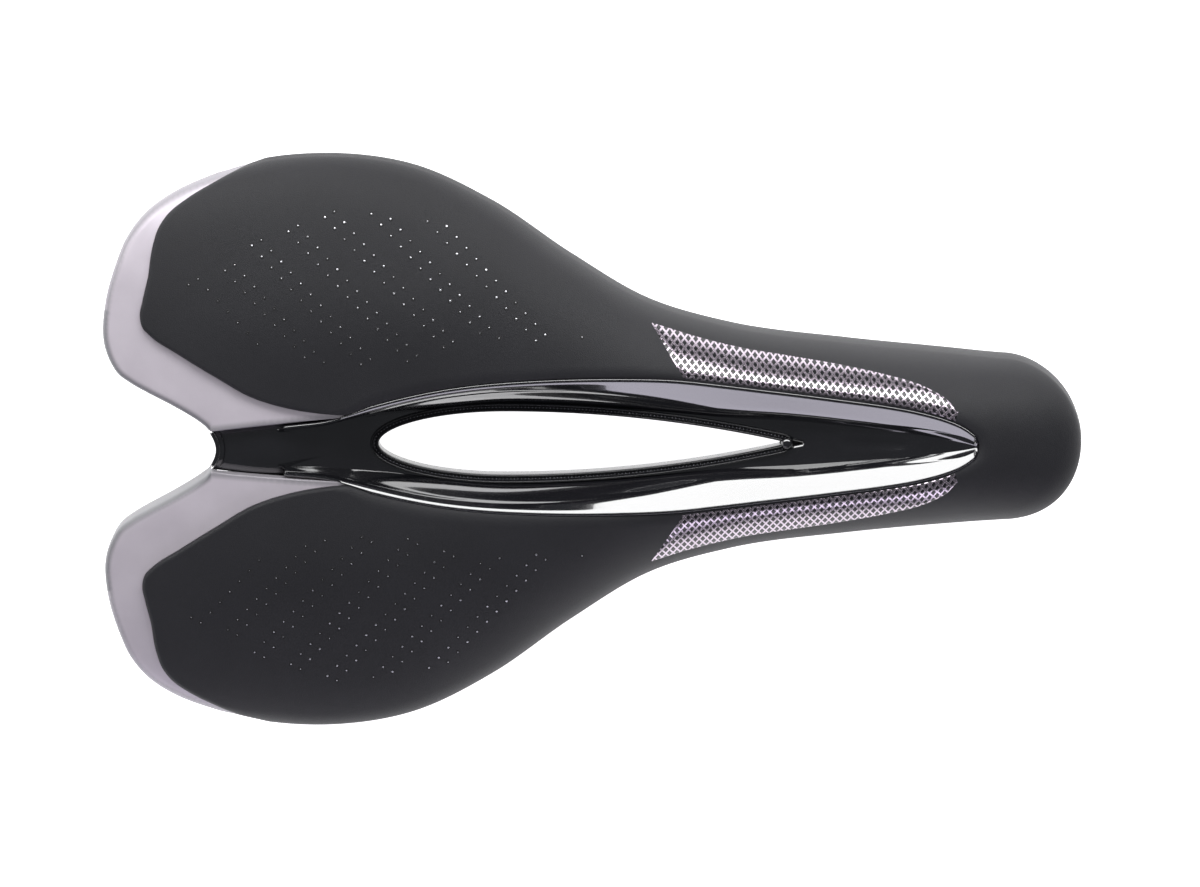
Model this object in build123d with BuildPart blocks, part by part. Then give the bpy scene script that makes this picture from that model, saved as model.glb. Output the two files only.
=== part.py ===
from build123d import *

import os
from math import cos, radians, sin, sqrt, tan

# Short-nosed racing saddle with a relief opening.
# Frame: +X towards the nose, +Y to the rider's left, +Z up.
# Origin: middle of the clamp zone of the rails, on the plane of the two rail axes.
# Places along the saddle are given from its tail end unless they say otherwise.

# ---------------------------------------------------------------- driving sizes, mm
saddle_length = 250.0
saddle_width = 147.5
clamp_from_tail = 0.46 * saddle_length     # to the middle of the clamp zone
skirt = 2.0                   # upright side wall below the springing of the arched top
edge_margin = 1.6             # the arched surfaces pass the outline by this much

rail_diameter = 7.0
rail_spacing = 44.0           # centre to centre of the two clamped lengths
clamp_length = 76.0           # straight length of each rail
rear_bend_run = 15.5          # end of the straight length to the corner of the rear bend
front_bend_run = 12.0         # end of the straight length to the corner of the front bend
bend_lead = 1.0               # straight lead between the clamped length and each bend
rear_rail_rise = 29.0         # level rear leg above the clamped length
rear_rail_half_spread = 41.0  # rail axis from the middle where it levels off
rear_level_x = 0.176 * saddle_length       # from the tail
rear_level_radius = 20.0
rear_leg_length = 27.0        # level leg, from that corner to the rail's cut end
rear_leg_angle = 15.0         # outward turn of the level leg, degrees
nose_rail_rise = 22.0         # level nose loop above the clamped lengths
nose_level_to_tip = 62.0      # nose tip back to the corner where the rail levels off
nose_level_half = 9.5
nose_level_radius = 30.0
nose_loop_to_tip = 33.0       # nose tip back to the axis of the loop's front
nose_loop_half = 8.5
nose_loop_radius = 8.0

cover_thickness = 1.2         # bonded microfibre skin
hem_width = 5.0               # skin turned under the edge
foam_side = 3.1               # foam beside the edge of the base shell
shell_wall = 2.6
glue_gap = 0.1                # bond line between pieces that lie on each other
part_gap = 0.2                # gap between neighbouring hard pieces
trim_drop = 1.5               # tail trims below the height of the pad

opening_half_width = 8.07
opening_rear = 0.2788 * saddle_length      # its rear tip
opening_rear_run = 0.13 * saddle_length    # rear tip to the widest place
opening_front_run = 0.2904 * saddle_length  # widest place to where the front arcs would meet
opening_tip_radius = 0.8
rim_width = 2.3
rim_height = 1.3
rim_floor = 34.6              # the rim lies on the channel floor at this height
rim_sleeve = 0.8              # wall of the sleeve down through the base shell
rim_groove = 0.6              # width of the groove between the two lips
rim_knob_radius = 1.2
rim_knob_height = 0.7         # above the flange
rim_knob_to_tip = 1.9         # middle of the knob to the front tip of the rim

liner_wall = 1.2
liner_drop = 0.4              # lip of the liner below the pad
channel_nose_gap = 29.0       # front of the channel to the nose tip
recess_length = 15.0          # shallow slot in the channel floor
recess_width = 2.2
recess_depth = 0.5
recess_to_tip = 53.0          # middle of the slot to the nose tip

bridge_thickness = 2.0
bridge_half_rear = 4.6
bridge_half_front = 8.1
bridge_to_opening = 0.0228 * saddle_length  # front edge of the bridge plate to the opening
bridge_floor = 41.0           # lower edge of its turned-down rear lip
bridge_arch = 0.5             # rise of its underside towards that lip

insert_length = 46.0          # elastomer pad under each sit bone
insert_width = 30.0
insert_height = 5.0
insert_x = 0.264 * saddle_length
insert_y = 37.0
insert_angle = -20.0

bush_wall = 1.5
bush_length = 17.0
bush_bore_gap = 0.05
socket_length = 20.0
socket_width = 25.0
socket_wall = 2.0             # end wall behind the bush
socket_floor = 8.0            # depth of the socket cap below the rail axis
socket_corner = 4.0
cap_chamfer = 1.2
nose_block_length = 26.0
nose_block_width = 27.0
nose_block_to_tip = 40.5
nose_block_floor = 6.5
nose_block_corner = 5.0

screw_diameter = 3.0
screw_head = 5.6
screw_head_height = 1.8
screw_drive = 2.0             # across the flats of the driver socket
screw_drive_share = 0.7       # depth of that socket as a share of the head
screw_head_round = 0.6
screw_end_gap = 1.0           # hole below the end of a screw
screw_length = 11.0
screw_clearance = 0.2         # around a shank or a head in its cap
screw_seat = 3.6              # cap material under each head
cap_screw_offset = 8.9        # screws beside the rear rail leg
nose_screw_back = 6.0         # nose screws behind and ahead of the block's middle
nose_screw_ahead = 2.5
trim_screw_length = 6.0
trim_boss_radius = 4.2
trim_boss_height = 1.4

rib_thickness = 2.0
rib_depth = 5.0
rib_half_spread = 18.5
rib_start = 0.248 * saddle_length
rib_to_tip = 78.0

grip_thickness = 0.6
grip_border = 0.6             # cover left showing between panel and channel

# Sections across the saddle: station as a share of the length, half width as a share of half
# the saddle's width, then heights above the rail axes: crest of the pad, springing line at the
# edge, crest of the base shell. The end stations lie past the ends, which the outline cuts off.
SECTIONS = [
    (-0.024, 0.870, 53.6, 40.0, 48.0),
    (0.080, 0.930, 53.8, 36.4, 47.6),
    (0.160, 0.976, 52.4, 32.8, 43.2),
    (0.230, 1.000, 50.5, 30.0, 35.6),
    (0.320, 0.953, 48.2, 26.8, 33.0),
    (0.394, 0.830, 47.0, 24.0, 33.0),
    (0.476, 0.639, 46.3, 21.0, 33.0),
    (0.556, 0.477, 46.0, 18.6, 33.0),
    (0.640, 0.392, 46.0, 17.0, 32.8),
    (0.760, 0.335, 45.8, 16.4, 32.4),
    (0.884, 0.297, 44.8, 17.2, 31.4),
    (0.960, 0.285, 42.4, 19.6, 29.8),
    (1.024, 0.265, 37.5, 24.0, 28.6),
]
PAD_CREST = 2
SHELL_CREST = 4

# Outline seen from above, from the bottom of the tail notch round to the start of the nose end:
# share of the length, share of half the width.
OUTLINE = [
    (0.119, 0.000), (0.106, 0.076), (0.045, 0.202), (0.014, 0.273), (0.000, 0.420),
    (0.014, 0.651), (0.045, 0.820), (0.110, 0.938), (0.230, 1.000), (0.312, 0.960),
    (0.394, 0.830), (0.476, 0.639), (0.557, 0.476), (0.639, 0.392), (0.762, 0.335),
    (0.860, 0.303), (0.920, 0.285),
]

# Rear edge of the upholstery, from the side of the saddle to the channel: corners as shares of
# the length and of half the width, and the radius at each inner corner.
PAD_REAR = [(0.184, 1.040), (0.088, 0.875), (0.054, 0.760), (0.037, 0.427), (0.152, 0.179),
            (0.250, 0.113)]
PAD_REAR_RADII = [40.0, 8.0, 4.5, 60.0]

# Channel behind the opening: distance behind its rear tip, half width of the floor, run of the
# wall in plan, rise of the floor.
CHANNEL_REAR = [(13.7, 7.0, 0.8, 8.0), (3.7, 7.2, 2.2, 0.6)]
# Channel walls beside the opening: share of the opening's length, run of the wall in plan.
CHANNEL_SIDES = [(0.05, 3.3), (0.16, 2.9), (0.29, 2.8), (0.44, 4.0), (0.58, 5.1), (0.72, 5.8),
                 (0.86, 6.1)]
# Channel ahead of the opening: share of the way to its front end, half width of the floor, run
# of the wall, rise of the floor.
CHANNEL_NOSE = [(0.03, 6.0, 4.9, 0.0), (0.37, 4.9, 3.8, 2.8), (0.72, 3.1, 2.7, 6.4),
                (1.00, 0.8, 1.0, 10.6)]

# ---------------------------------------------------------------- derived sizes
tail_x = -clamp_from_tail
notch_x = tail_x + OUTLINE[0][0] * saddle_length
nose_x = saddle_length - clamp_from_tail
half_width = saddle_width / 2
rail_radius = rail_diameter / 2
rail_half_spacing = rail_spacing / 2
clamp_half = clamp_length / 2
foam_inset = cover_thickness + glue_gap
shell_inset = foam_inset + foam_side + glue_gap
opening_middle = opening_rear + opening_rear_run
opening_front = opening_middle + opening_front_run
channel_front = saddle_length - channel_nose_gap
bush_radius = rail_radius + bush_wall
drill_radius = screw_diameter / 2 + 0.05
above_all = 70.0              # tool bodies reach from below the rails to above the pad
below_all = -10.0
deep = 40.0                   # tool bodies that must leave no floor
outline_steps = 40            # points that carry an inset outline


def section_value(x, column):
    """A column of the section table at a place along the saddle, straight between stations."""
    share = (x - tail_x) / saddle_length
    for before, after in zip(SECTIONS, SECTIONS[1:]):
        if share <= after[0]:
            part_way = (share - before[0]) / (after[0] - before[0])
            return before[column] + part_way * (after[column] - before[column])
    return SECTIONS[-1][column]


def crown_height(x, y, inset=0.0, drop=0.0, column=PAD_CREST):
    """Height of an arched surface at a place in plan."""
    reach = section_value(x, 1) * half_width + edge_margin - inset
    edge = section_value(x, 3)
    rise = section_value(x, column) - drop - edge
    return edge + rise * sqrt(max(0.0, 1 - (abs(y) / reach) ** 2.4))


def crown(inset=0.0, drop=0.0, column=PAD_CREST, floor_drop=skirt):
    """Solid under an arched surface, lofted through the sections from past tail to past nose."""
    with BuildPart() as body:
        for section in SECTIONS:
            edge = section[3]
            rise = section[column] - drop - edge
            reach = section[1] * half_width + edge_margin - inset
            arch = [
                (reach * k / 6, edge + rise * sqrt(1 - abs(k / 6) ** 2.4))
                for k in range(-6, 7)
            ]
            low = edge - floor_drop
            with BuildSketch(Plane.YZ.offset(tail_x + section[0] * saddle_length)):
                with BuildLine():
                    Spline(arch, tangents=[(0, 1), (0, -1)], tangent_scalars=[1, 1])
                    Polyline(arch[-1], (reach, low), (-reach, low), arch[0])
                make_face()
        loft()
    return body.part


with BuildLine() as wing_line:
    Spline(
        [(tail_x + a * saddle_length, b * half_width) for a, b in OUTLINE],
        tangents=[(0, 1), (1, 0)], tangent_scalars=[1, 1],
    )
wing_edge = wing_line.edges()[0]


def outline_prism(inset=0.0):
    """Upright prism of the saddle's outline, moved inwards by an inset."""
    with BuildPart() as prism:
        with BuildSketch(Plane.XY.offset(below_all)):
            with BuildLine():
                places = [k / outline_steps for k in range(outline_steps + 1)]
                inward = [(wing_edge % u).rotate(Axis.Z, -90) * inset for u in places]
                Spline(
                    [(wing_edge @ u) + step for u, step in zip(places, inward)],
                    tangents=[(0, 1), (1, 0)], tangent_scalars=[1, 1],
                )
                nose_half = (wing_edge @ 1).Y - inset
                EllipticalCenterArc(
                    ((wing_edge @ 1).X, 0), nose_x - (wing_edge @ 1).X - inset, nose_half,
                    start_angle=0, arc_size=90,
                )
                mirror(about=Plane.XZ)
            make_face()
        extrude(amount=above_all - below_all)
    return prism.part


def opening_half(station):
    """Half width of the opening at a distance from the tail end."""
    run = station - opening_middle
    if abs(run) >= (opening_rear_run if run < 0 else opening_front_run):
        return 0.0
    if run < 0:
        return opening_half_width * sqrt(1 - (run / opening_rear_run) ** 2)
    return opening_half_width * (1 - (run / opening_front_run) ** 2)


def opening_prism(grow, low, high):
    """Teardrop of the opening, grown evenly: half an ellipse behind, two arcs ahead."""
    arc_radius = (opening_front_run**2 + opening_half_width**2) / (2 * opening_half_width)
    middle = tail_x + opening_middle
    half = opening_half_width + grow
    radius = arc_radius + grow
    centre_depth = arc_radius - opening_half_width
    meet = middle + sqrt(radius**2 - centre_depth**2)
    half_way = (meet - middle) / 2
    with BuildPart() as prism:
        with BuildSketch(Plane.XY.offset(low)) as teardrop:
            with BuildLine():
                EllipticalCenterArc(
                    (middle, 0), opening_rear_run + grow, half, start_angle=90, arc_size=90
                )
                on_arc = (middle + half_way, sqrt(radius**2 - half_way**2) - centre_depth)
                ThreePointArc((middle, half), on_arc, (meet, 0))
                mirror(about=Plane.XZ)
            make_face()
            fillet(teardrop.vertices().sort_by(Axis.X)[-1], opening_tip_radius + grow)
        extrude(amount=high - low)
    return prism.part


def channel(grow):
    """Solid that fills the channel up past the pad, its walls and floor moved out by grow."""
    rows = []
    for behind, floor_half, run, rise in CHANNEL_REAR:
        rows.append((opening_rear - behind, floor_half, run, rim_floor + rise))
    for share, run in CHANNEL_SIDES:
        station = opening_rear + share * (opening_front - opening_rear)
        floor_half = opening_half(station) + rim_width + part_gap
        rows.append((station, floor_half, run, rim_floor))
    for share, floor_half, run, rise in CHANNEL_NOSE:
        station = opening_front + share * (channel_front - opening_front)
        rows.append((station, floor_half, run, rim_floor + rise))
    with BuildPart() as body:
        for station, floor_half, run, floor in rows:
            lip = crown_height(tail_x + station, floor_half + run)
            low_half = floor_half + grow
            high_half = floor_half + run + grow
            low = floor - grow
            with BuildSketch(Plane.YZ.offset(tail_x + station)):
                with BuildLine():
                    Polyline(
                        (-low_half, low), (low_half, low), (high_half, max(lip, low + 1)),
                        (high_half, above_all), (-high_half, above_all),
                        (-high_half, max(lip, low + 1)), close=True,
                    )
                make_face()
        loft()
    return body.part


def tail_zone(grow=0.0):
    """Prism of everything behind the upholstery: both tail trims and the bridge."""
    with BuildPart() as prism:
        with BuildSketch(Plane.XY.offset(below_all)):
            with BuildLine():
                edge = [(tail_x + a * saddle_length, b * half_width) for a, b in PAD_REAR]
                FilletPolyline(*edge, radius=PAD_REAR_RADII)
                behind = tail_x - 20
                Polyline(edge[0], (behind, edge[0][1]), (behind, 0))
                Line((edge[-1][0], 0), edge[-1])
                mirror(about=Plane.XZ)
            make_face()
            if grow > 0:
                offset(amount=grow)
        extrude(amount=above_all - below_all)
    return prism.part


def bridge_prism(grow=0.0):
    """Prism of the bridge plate's shape in plan: straight sides that open forwards."""
    rear = tail_x + 20
    front = tail_x + opening_rear - bridge_to_opening
    slope = (bridge_half_front - bridge_half_rear) / (front - notch_x)
    with BuildPart() as prism:
        with BuildSketch(Plane.XY.offset(below_all)):
            with BuildLine():
                rear_half = bridge_half_rear + slope * (rear - notch_x) + grow
                front_half = bridge_half_front + grow
                Polyline((rear, -rear_half), (front + grow, -front_half),
                         (front + grow, front_half), (rear, rear_half), close=True)
            make_face()
        extrude(amount=above_all - below_all)
    return prism.part


def turn_radius(before, corner, after, run):
    """Radius whose arc starts a given run before a corner of a path."""
    turn = (corner - before).get_angle(after - corner)
    return run / tan(radians(turn) / 2)


os.makedirs("parts", exist_ok=True)

# ---------------------------------------------------------------- shared tool bodies
pad_body = crown()
outline_body = outline_prism()
tail_body = tail_zone()
shell_block = crown(shell_inset, 0, SHELL_CREST) & outline_prism(shell_inset)
shell_room = (crown(shell_inset - glue_gap, -glue_gap, SHELL_CREST, deep)
              & outline_prism(shell_inset - glue_gap))
channel_room = channel(liner_wall + glue_gap)

# ---------------------------------------------------------------- rails
rear_corner = Vector(-clamp_half - rear_bend_run, rail_half_spacing, 0)
rear_level = Vector(tail_x + rear_level_x, rear_rail_half_spread, rear_rail_rise)
leg_turn = radians(rear_leg_angle)
leg_direction = Vector(-cos(leg_turn), sin(leg_turn), 0)
rear_end = rear_level + leg_direction * rear_leg_length
rear_start = Vector(-clamp_half, rail_half_spacing, 0)
rear_radius = turn_radius(rear_start, rear_corner, rear_level, rear_bend_run - bend_lead)

front_corner = Vector(clamp_half + front_bend_run, rail_half_spacing, 0)
nose_level = Vector(nose_x - nose_level_to_tip, nose_level_half, nose_rail_rise)
loop_corner = Vector(nose_x - nose_loop_to_tip, nose_loop_half, nose_rail_rise)
front_start = Vector(clamp_half, rail_half_spacing, 0)
front_radius = turn_radius(front_start, front_corner, nose_level, front_bend_run - bend_lead)


def other_side(point):
    """The same place on the rider's right."""
    return Vector(point.X, -point.Y, point.Z)


def nose_path_points():
    """Corners of the rail from the left clamped length, round the nose loop, to the right one."""
    left = [front_start, front_corner, nose_level, loop_corner]
    return left + [other_side(point) for point in reversed(left)]


nose_path_radii = [front_radius, nose_level_radius, nose_loop_radius]
nose_path_radii = nose_path_radii + nose_path_radii[::-1]

with BuildPart() as nose_loop:
    with BuildLine():
        FilletPolyline(*nose_path_points(), radius=nose_path_radii)
    with BuildSketch(Plane.YZ.offset(clamp_half)):
        with Locations((rail_half_spacing, 0)):
            Circle(rail_radius)
    sweep()

with BuildPart() as rear_leg:
    with BuildLine():
        FilletPolyline(rear_start, rear_corner, rear_level, rear_end,
                       radius=[rear_radius, rear_level_radius])
    with BuildSketch(Plane(origin=rear_start, z_dir=(-1, 0, 0))):
        Circle(rail_radius)
    sweep()

with BuildPart() as rail_frame:
    with BuildSketch(Plane.YZ.offset(-clamp_half)):
        with Locations((rail_half_spacing, 0), (-rail_half_spacing, 0)):
            Circle(rail_radius)
    extrude(amount=clamp_length)
    add(nose_loop.part)
    add(rear_leg.part)
    mirror(rear_leg.part, about=Plane.XZ)

# Room for the nose loop in its block and cap.
with BuildPart() as nose_loop_room:
    with BuildLine():
        FilletPolyline(*nose_path_points(), radius=nose_path_radii)
    with BuildSketch(Plane.YZ.offset(clamp_half)):
        with Locations((rail_half_spacing, 0)):
            Circle(rail_radius + glue_gap)
    sweep()

# Elastomer ferrules on the rear ends of the rail.
bush_tip = rear_end + leg_direction * bush_wall
leg_plane = Plane(origin=bush_tip, z_dir=-leg_direction)

with BuildPart() as rear_rail_bush_left:
    with BuildSketch(leg_plane):
        Circle(bush_radius)
    extrude(amount=bush_length)
    with BuildSketch(leg_plane.offset(bush_wall - bush_bore_gap)):
        Circle(rail_radius + bush_bore_gap)
    extrude(amount=bush_length, mode=Mode.SUBTRACT)

with BuildPart() as rear_rail_bush_right:
    mirror(rear_rail_bush_left.part, about=Plane.XZ)

# ---------------------------------------------------------------- rear sockets and their caps
socket_back = bush_tip + leg_direction * (part_gap + socket_wall)
socket_middle = socket_back - leg_direction * (socket_length / 2)
socket_plane = Plane(origin=socket_middle, x_dir=leg_direction, z_dir=(0, 0, 1))
cap_top = socket_plane.offset(-part_gap)
cap_bottom = socket_plane.offset(-socket_floor)
head_radius = screw_head / 2 + screw_clearance
seat_depth = socket_floor - part_gap - screw_seat
cap_screw_places = [(0, cap_screw_offset), (0, -cap_screw_offset)]

with BuildPart() as bush_room:
    with BuildSketch(leg_plane.offset(-part_gap)):
        Circle(bush_radius + glue_gap)
    extrude(amount=bush_length + socket_length)

with BuildPart() as rear_socket_left:
    with BuildSketch(socket_plane):
        RectangleRounded(socket_length, socket_width, socket_corner)
    extrude(amount=above_all - rear_rail_rise)
    add(bush_room.part, mode=Mode.SUBTRACT)
    with BuildSketch(socket_plane):
        with Locations(*cap_screw_places):
            Circle(drill_radius)
    extrude(amount=screw_length - screw_seat + screw_end_gap, mode=Mode.SUBTRACT)
    add(crown(shell_inset, 0, SHELL_CREST, deep), mode=Mode.INTERSECT)

with BuildPart() as rear_socket_cap_left:
    with BuildSketch(cap_bottom):
        RectangleRounded(socket_length, socket_width, socket_corner)
    extrude(amount=socket_floor - part_gap)
    chamfer(rear_socket_cap_left.faces().sort_by(Axis.Z)[0].edges(), cap_chamfer)
    add(bush_room.part, mode=Mode.SUBTRACT)
    with Locations(cap_bottom):
        with Locations(*cap_screw_places):
            Cylinder(screw_diameter / 2 + screw_clearance, socket_floor * 3, mode=Mode.SUBTRACT)
            Cylinder(head_radius, seat_depth * 2, mode=Mode.SUBTRACT)

with BuildPart() as rear_socket_cap_right:
    mirror(rear_socket_cap_left.part, about=Plane.XZ)


def screw(seat_plane, length):
    """Pan-head screw with a hexagon socket, its shank up from the seat plane."""
    with BuildPart(seat_plane) as fastener:
        Cylinder(screw_diameter / 2, length, align=(Align.CENTER, Align.CENTER, Align.MIN))
        Cylinder(screw_head / 2, screw_head_height, align=(Align.CENTER, Align.CENTER, Align.MAX))
        fillet(fastener.faces().sort_by(Axis.Z)[0].edges(), screw_head_round)
        with BuildSketch(seat_plane.offset(-screw_head_height)):
            RegularPolygon(screw_drive / 2, 6, major_radius=False)
        extrude(amount=screw_head_height * screw_drive_share, mode=Mode.SUBTRACT)
    return fastener.part


with BuildPart() as rear_cap_screws:
    for place in cap_screw_places:
        seat = Plane(cap_bottom.offset(seat_depth).from_local_coords((*place, 0)),
                     x_dir=leg_direction, z_dir=(0, 0, 1))
        add(screw(seat, screw_length))
    mirror(rear_cap_screws.part, about=Plane.XZ)

# ---------------------------------------------------------------- nose block and its cap
nose_block_x = nose_x - nose_block_to_tip
nose_plane = Plane(origin=(nose_block_x, 0, nose_rail_rise))
nose_screw_places = [(-nose_screw_back, 0), (nose_screw_ahead, 0)]
nose_seat_depth = nose_block_floor - part_gap - screw_seat

with BuildPart() as nose_block:
    with BuildSketch(nose_plane):
        RectangleRounded(nose_block_length, nose_block_width, nose_block_corner)
    extrude(amount=above_all - nose_rail_rise)
    add(nose_loop_room.part, mode=Mode.SUBTRACT)
    with BuildSketch(nose_plane):
        with Locations(*nose_screw_places):
            Circle(drill_radius)
    extrude(amount=screw_length - screw_seat + screw_end_gap, mode=Mode.SUBTRACT)
    add(crown(shell_inset, 0, SHELL_CREST, deep), mode=Mode.INTERSECT)

with BuildPart() as nose_rail_cap:
    with BuildSketch(nose_plane.offset(-nose_block_floor)):
        RectangleRounded(nose_block_length, nose_block_width, nose_block_corner)
    extrude(amount=nose_block_floor - part_gap)
    chamfer(nose_rail_cap.faces().sort_by(Axis.Z)[0].edges(), cap_chamfer)
    add(nose_loop_room.part, mode=Mode.SUBTRACT)
    with Locations(nose_plane.offset(-nose_block_floor)):
        with Locations(*nose_screw_places):
            Cylinder(screw_diameter / 2 + screw_clearance, nose_block_floor * 3,
                     mode=Mode.SUBTRACT)
            Cylinder(head_radius, nose_seat_depth * 2, mode=Mode.SUBTRACT)

with BuildPart() as nose_cap_screws:
    for place in nose_screw_places:
        seat_height = nose_rail_rise - nose_block_floor + nose_seat_depth
        seat = Plane(origin=(nose_block_x + place[0], 0, seat_height))
        add(screw(seat, screw_length))

# ---------------------------------------------------------------- base shell
trim_screw_places = [
    (tail_x + 0.048 * saddle_length, 0.345 * half_width),
    (tail_x + 0.100 * saddle_length, 0.240 * half_width),
]
trim_seats = [
    (x, y, crown_height(x, y, shell_inset, 0, SHELL_CREST) - shell_wall - trim_boss_height)
    for x, y in trim_screw_places
]

with BuildPart() as trim_bosses:
    for x, y, z in trim_seats:
        with BuildSketch(Plane(origin=(x, y, z))):
            Circle(trim_boss_radius)
        extrude(amount=trim_boss_height + shell_wall)

with BuildPart() as ribs:
    rib_end = saddle_length - rib_to_tip
    with BuildSketch(Plane.XY.offset(crown_height(0, 0, 0, shell_wall + rib_depth, SHELL_CREST))):
        with Locations((tail_x + (rib_start + rib_end) / 2, rib_half_spread)):
            Rectangle(rib_end - rib_start, rib_thickness)
    extrude(amount=above_all / 2)

with BuildPart() as base_shell:
    add(shell_block)
    hollow = crown(shell_inset + shell_wall, shell_wall, SHELL_CREST, deep)
    add(hollow & outline_prism(shell_inset + shell_wall), mode=Mode.SUBTRACT)
    add(rear_socket_left.part)
    mirror(rear_socket_left.part, about=Plane.XZ)
    add(nose_block.part)
    add(trim_bosses.part & shell_block)
    mirror(trim_bosses.part & shell_block, about=Plane.XZ)
    add(ribs.part & shell_block)
    mirror(ribs.part & shell_block, about=Plane.XZ)
    add(opening_prism(rim_sleeve + glue_gap, below_all, above_all), mode=Mode.SUBTRACT)
    add(channel_room, mode=Mode.SUBTRACT)
    with Locations(*[(x, side * y, z) for x, y, z in trim_seats for side in (1, -1)]):
        Cylinder(screw_diameter / 2 + screw_clearance, trim_screw_length * 2,
                 mode=Mode.SUBTRACT)
        Cylinder(head_radius, trim_screw_length, align=(Align.CENTER, Align.CENTER, Align.MAX),
                 mode=Mode.SUBTRACT)

# ---------------------------------------------------------------- padding
with BuildPart() as insert_plan:
    with BuildSketch(Plane.XY.offset(below_all)):
        with Locations(Location((tail_x + insert_x, insert_y), insert_angle)):
            Ellipse(insert_length / 2, insert_width / 2)
    extrude(amount=above_all - below_all)

with BuildPart() as insert_plan_room:
    with BuildSketch(Plane.XY.offset(below_all)):
        with Locations(Location((tail_x + insert_x, insert_y), insert_angle)):
            Ellipse(insert_length / 2 + glue_gap, insert_width / 2 + glue_gap)
    extrude(amount=above_all - below_all)

with BuildPart() as sit_bone_insert_left:
    add(crown(shell_inset, -glue_gap - insert_height, SHELL_CREST))
    add(shell_room, mode=Mode.SUBTRACT)
    add(insert_plan.part, mode=Mode.INTERSECT)

with BuildPart() as sit_bone_insert_right:
    mirror(sit_bone_insert_left.part, about=Plane.XZ)

with BuildPart() as insert_room:
    add(crown(shell_inset, -2 * glue_gap - insert_height, SHELL_CREST, deep))
    add(insert_plan_room.part, mode=Mode.INTERSECT)

with BuildPart() as foam_pad:
    add(crown(foam_inset, foam_inset))
    add(outline_prism(foam_inset), mode=Mode.INTERSECT)
    add(shell_room, mode=Mode.SUBTRACT)
    add(insert_room.part, mode=Mode.SUBTRACT)
    mirror(insert_room.part, about=Plane.XZ, mode=Mode.SUBTRACT)
    add(channel(liner_wall + 2 * glue_gap), mode=Mode.SUBTRACT)
    add(opening_prism(rim_width + liner_wall, below_all, above_all), mode=Mode.SUBTRACT)
    add(tail_zone(cover_thickness + glue_gap), mode=Mode.SUBTRACT)
    add(bridge_prism(part_gap), mode=Mode.SUBTRACT)

# ---------------------------------------------------------------- cover
with BuildPart() as foam_room:
    add(crown(cover_thickness, cover_thickness, floor_drop=skirt + glue_gap))
    add(outline_prism(cover_thickness), mode=Mode.INTERSECT)

with BuildPart() as hem_room:
    add(crown(cover_thickness + hem_width, foam_inset + 1, floor_drop=deep))
    nose_end = tail_x + SECTIONS[-2][0] * saddle_length - hem_width / 2
    split(bisect_by=Plane.YZ.offset(nose_end), keep=Keep.BOTTOM)

with BuildPart() as cover:
    add(crown(floor_drop=skirt + glue_gap + cover_thickness))
    add(outline_body, mode=Mode.INTERSECT)
    add(foam_room.part, mode=Mode.SUBTRACT)
    add(hem_room.part, mode=Mode.SUBTRACT)
    add(channel_room, mode=Mode.SUBTRACT)
    add(tail_body, mode=Mode.SUBTRACT)
    add(bridge_prism(part_gap), mode=Mode.SUBTRACT)

# ---------------------------------------------------------------- grip panels on the nose
# Corners of a panel in plan, as shares of the length and of half the width.
GRIP_OUTER = [(0.554, 0.434), (0.650, 0.334), (0.746, 0.289), (0.839, 0.216), (0.874, 0.099)]
GRIP_INNER = [(0.589, 0.180), (0.720, 0.120), (0.860, 0.060)]

with BuildPart() as grip_panel_left:
    with BuildSketch(Plane.XY.offset(below_all)):
        with BuildLine():
            outer = [(tail_x + a * saddle_length, b * half_width) for a, b in GRIP_OUTER]
            inner = [(tail_x + a * saddle_length, b * half_width) for a, b in GRIP_INNER]
            Spline(outer)
            Polyline(outer[-1], inner[-1], inner[1], inner[0], outer[0])
        make_face()
    extrude(amount=above_all - below_all)
    film_top = glue_gap + grip_thickness
    add(crown(-film_top, -film_top), mode=Mode.INTERSECT)
    add(crown(-glue_gap, -glue_gap, floor_drop=deep), mode=Mode.SUBTRACT)
    add(channel(liner_wall + glue_gap + grip_border), mode=Mode.SUBTRACT)

with BuildPart() as grip_panel_right:
    mirror(grip_panel_left.part, about=Plane.XZ)

# ---------------------------------------------------------------- tail trims
with BuildPart() as tail_trim_left:
    add(crown(0, trim_drop))
    add(outline_body, mode=Mode.INTERSECT)
    add(tail_body, mode=Mode.INTERSECT)
    add(shell_room, mode=Mode.SUBTRACT)
    add(bridge_prism(part_gap), mode=Mode.SUBTRACT)
    split(bisect_by=Plane.XZ, keep=Keep.BOTTOM)
    with Locations(*trim_seats):
        Cylinder(drill_radius, (trim_screw_length + screw_end_gap) * 2, mode=Mode.SUBTRACT)

with BuildPart() as tail_trim_right:
    mirror(tail_trim_left.part, about=Plane.XZ)

with BuildPart() as trim_screws:
    for x, y, z in trim_seats:
        add(screw(Plane(origin=(x, y, z)), trim_screw_length))
    mirror(trim_screws.part, about=Plane.XZ)

# ---------------------------------------------------------------- bridge plate
bridge_end = opening_rear - bridge_to_opening
# Top line of the plate: share of the saddle's length, height.
BRIDGE_TOP = [(0.100, 47.6), (0.132, 48.8), (0.168, 48.2), (0.208, 44.4),
              (bridge_end / saddle_length, 37.2)]

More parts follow.
